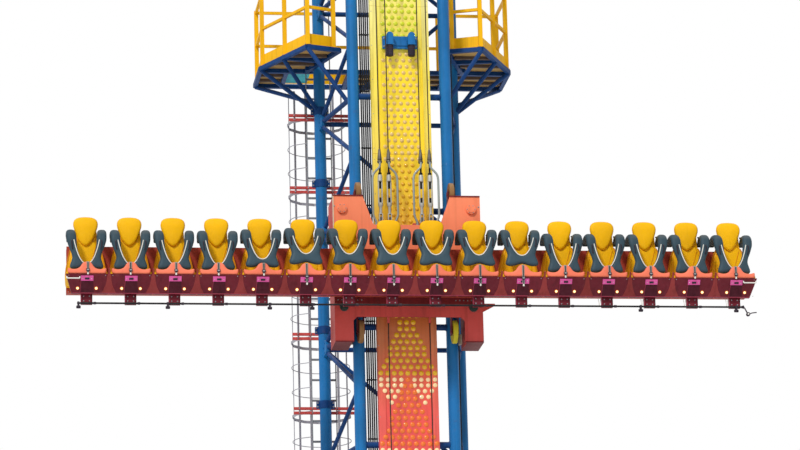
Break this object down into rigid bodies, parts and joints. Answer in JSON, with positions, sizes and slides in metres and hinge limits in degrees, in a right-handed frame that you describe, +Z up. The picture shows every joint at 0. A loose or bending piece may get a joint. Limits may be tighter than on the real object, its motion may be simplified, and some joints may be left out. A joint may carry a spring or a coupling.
{
  "type": "drop tower ride",
  "caption": "Drop tower ride: a lattice tower with a lit front panel, service platform and caged ladder, and a hoisted row of seats with swing-down shoulder restraints.",
  "frame": {"origin": "on the flat underside of the base frame, at the middle of the tower", "axes": "+Z up the tower, -Y the way the riders face, +X to the right as seen from in front"},
  "size_m": [9.5732, 3.621, 21.7847],
  "materials": {
    "column_blue": "gloss",
    "panel_yellow": "lit translucent",
    "rail_yellow": "gloss",
    "deck_tan": "satin",
    "cage_steel": "satin",
    "rope_steel": "greased",
    "sheave_steel": "satin",
    "winch_grey": "satin",
    "rubber_black": "matt",
    "cable_grey": "satin",
    "carriage_red": "gloss",
    "plate_salmon": "satin",
    "shoe_ivory": "matt",
    "socket_steel": "satin",
    "guard_steel": "satin",
    "maroon": "satin",
    "seat_shell": "gloss",
    "cushion_yellow": "satin",
    "lip_salmon": "satin",
    "apron_maroon": "satin",
    "buckle_pink": "satin",
    "bar_black": "satin",
    "restraint_slate": "satin",
    "wheel_brown": "satin",
    "wheel_yellow": "satin"
  },
  "bodies": {
    "root": {"base_frame": "column_blue", "columns": "column_blue", "lattice_left": "column_blue", "lattice_right": "column_blue", "lattice_back": "column_blue", "front_ties": "column_blue", "light_panel": "panel_yellow", "head_frame": "column_blue", "rope_sheaves": "sheave_steel", "winch": "winch_grey", "return_ropes": "rope_steel", "hoist_ropes": "rope_steel", "pull_down_ropes": "rope_steel", "buffer_bracket": "column_blue", "buffers": "rubber_black", "platform_deck": "deck_tan", "platform_frame": "column_blue", "platform_railings": "rail_yellow", "ladder": "rail_yellow", "ladder_cage": "cage_steel", "ladder_brackets": "carriage_red", "cable_runs": "cable_grey"},
    "gondola": {"carriage_plate": "plate_salmon", "carriage_crossbeam": "carriage_red", "carriage_frame": "carriage_red", "wheel_forks": "carriage_red", "keeper_shoes": "shoe_ivory", "rope_sockets": "socket_steel", "rope_guards": "guard_steel", "gondola_beam": "maroon", "back_panel": "maroon", "seat_frames": "maroon", "seat_backs": "seat_shell", "headrests": "cushion_yellow", "seat_pans": "seat_shell", "seat_lips": "lip_salmon", "aprons": "apron_maroon", "buckle_plates": "buckle_pink", "foot_bar": "bar_black"},
    "wheel_upper_left": {"wheel_upper_left": "wheel_brown"},
    "wheel_upper_right": {"wheel_upper_right": "wheel_brown"},
    "wheel_lower_left": {"wheel_lower_left": "wheel_brown"},
    "wheel_lower_right": {"wheel_lower_right": "wheel_yellow"},
    "restraint_01": {"restraint_01": "restraint_slate"},
    "restraint_02": {"restraint_02": "restraint_slate"},
    "restraint_03": {"restraint_03": "restraint_slate"},
    "restraint_04": {"restraint_04": "restraint_slate"},
    "restraint_05": {"restraint_05": "restraint_slate"},
    "restraint_06": {"restraint_06": "restraint_slate"},
    "restraint_07": {"restraint_07": "restraint_slate"},
    "restraint_08": {"restraint_08": "restraint_slate"},
    "restraint_09": {"restraint_09": "restraint_slate"},
    "restraint_10": {"restraint_10": "restraint_slate"},
    "restraint_11": {"restraint_11": "restraint_slate"},
    "restraint_12": {"restraint_12": "restraint_slate"},
    "restraint_13": {"restraint_13": "restraint_slate"},
    "restraint_14": {"restraint_14": "restraint_slate"},
    "restraint_15": {"restraint_15": "restraint_slate"},
    "restraint_16": {"restraint_16": "restraint_slate"}
  },
  "joints": [
    {"name": "gondola_slide", "type": "slide", "parent": "root", "child": "gondola", "axis": [0, 0, 1], "range_m": [-13.3, 2.45], "deforming": ["hoist_ropes", "pull_down_ropes"]},
    {"name": "wheel_upper_left_spin", "type": "hinge", "parent": "gondola", "child": "wheel_upper_left", "pos_m": [-0.66, -0.9685, 15.91], "axis": [1, 0, 0], "range_deg": [-860, 4700]},
    {"name": "wheel_upper_right_spin", "type": "hinge", "parent": "gondola", "child": "wheel_upper_right", "pos_m": [0.66, -0.9685, 15.91], "axis": [1, 0, 0], "range_deg": [-860, 4700]},
    {"name": "wheel_lower_left_spin", "type": "hinge", "parent": "gondola", "child": "wheel_lower_left", "pos_m": [-0.66, -0.9685, 13.927], "axis": [1, 0, 0], "range_deg": [-860, 4700]},
    {"name": "wheel_lower_right_spin", "type": "hinge", "parent": "gondola", "child": "wheel_lower_right", "pos_m": [0.66, -0.9685, 13.927], "axis": [1, 0, 0], "range_deg": [-860, 4700]},
    {"name": "restraint_01_pivot", "type": "hinge", "parent": "gondola", "child": "restraint_01", "pos_m": [-4.5, -1.345, 15.115], "axis": [-1, 0, 0], "range_deg": [0, 80]},
    {"name": "restraint_02_pivot", "type": "hinge", "parent": "gondola", "child": "restraint_02", "pos_m": [-3.9, -1.345, 15.115], "axis": [-1, 0, 0], "range_deg": [0, 80]},
    {"name": "restraint_03_pivot", "type": "hinge", "parent": "gondola", "child": "restraint_03", "pos_m": [-3.3, -1.345, 15.115], "axis": [-1, 0, 0], "range_deg": [0, 80]},
    {"name": "restraint_04_pivot", "type": "hinge", "parent": "gondola", "child": "restraint_04", "pos_m": [-2.7, -1.345, 15.115], "axis": [-1, 0, 0], "range_deg": [0, 80]},
    {"name": "restraint_05_pivot", "type": "hinge", "parent": "gondola", "child": "restraint_05", "pos_m": [-2.1, -1.345, 15.115], "axis": [-1, 0, 0], "range_deg": [-4.5, 75.5]},
    {"name": "restraint_06_pivot", "type": "hinge", "parent": "gondola", "child": "restraint_06", "pos_m": [-1.5, -1.345, 15.115], "axis": [-1, 0, 0], "range_deg": [-9, 71]},
    {"name": "restraint_07_pivot", "type": "hinge", "parent": "gondola", "child": "restraint_07", "pos_m": [-0.9, -1.345, 15.115], "axis": [-1, 0, 0], "range_deg": [-9, 71]},
    {"name": "restraint_08_pivot", "type": "hinge", "parent": "gondola", "child": "restraint_08", "pos_m": [-0.3, -1.345, 15.115], "axis": [-1, 0, 0], "range_deg": [-9, 71]},
    {"name": "restraint_09_pivot", "type": "hinge", "parent": "gondola", "child": "restraint_09", "pos_m": [0.3, -1.345, 15.115], "axis": [-1, 0, 0], "range_deg": [-9, 71]},
    {"name": "restraint_10_pivot", "type": "hinge", "parent": "gondola", "child": "restraint_10", "pos_m": [0.9, -1.345, 15.115], "axis": [-1, 0, 0], "range_deg": [-9, 71]},
    {"name": "restraint_11_pivot", "type": "hinge", "parent": "gondola", "child": "restraint_11", "pos_m": [1.5, -1.345, 15.115], "axis": [-1, 0, 0], "range_deg": [-9, 71]},
    {"name": "restraint_12_pivot", "type": "hinge", "parent": "gondola", "child": "restraint_12", "pos_m": [2.1, -1.345, 15.115], "axis": [-1, 0, 0], "range_deg": [0, 80]},
    {"name": "restraint_13_pivot", "type": "hinge", "parent": "gondola", "child": "restraint_13", "pos_m": [2.7, -1.345, 15.115], "axis": [-1, 0, 0], "range_deg": [0, 80]},
    {"name": "restraint_14_pivot", "type": "hinge", "parent": "gondola", "child": "restraint_14", "pos_m": [3.3, -1.345, 15.115], "axis": [-1, 0, 0], "range_deg": [0, 80]},
    {"name": "restraint_15_pivot", "type": "hinge", "parent": "gondola", "child": "restraint_15", "pos_m": [3.9, -1.345, 15.115], "axis": [-1, 0, 0], "range_deg": [0, 80]},
    {"name": "restraint_16_pivot", "type": "hinge", "parent": "gondola", "child": "restraint_16", "pos_m": [4.5, -1.345, 15.115], "axis": [-1, 0, 0], "range_deg": [0, 80]}
  ],
  "couplings": [
    {"joint": "wheel_upper_left_spin", "follows": "gondola_slide", "rad_per_m": -6.0606},
    {"joint": "wheel_upper_right_spin", "follows": "gondola_slide", "rad_per_m": -6.0606},
    {"joint": "wheel_lower_left_spin", "follows": "gondola_slide", "rad_per_m": -6.0606},
    {"joint": "wheel_lower_right_spin", "follows": "gondola_slide", "rad_per_m": -6.0606}
  ]
}
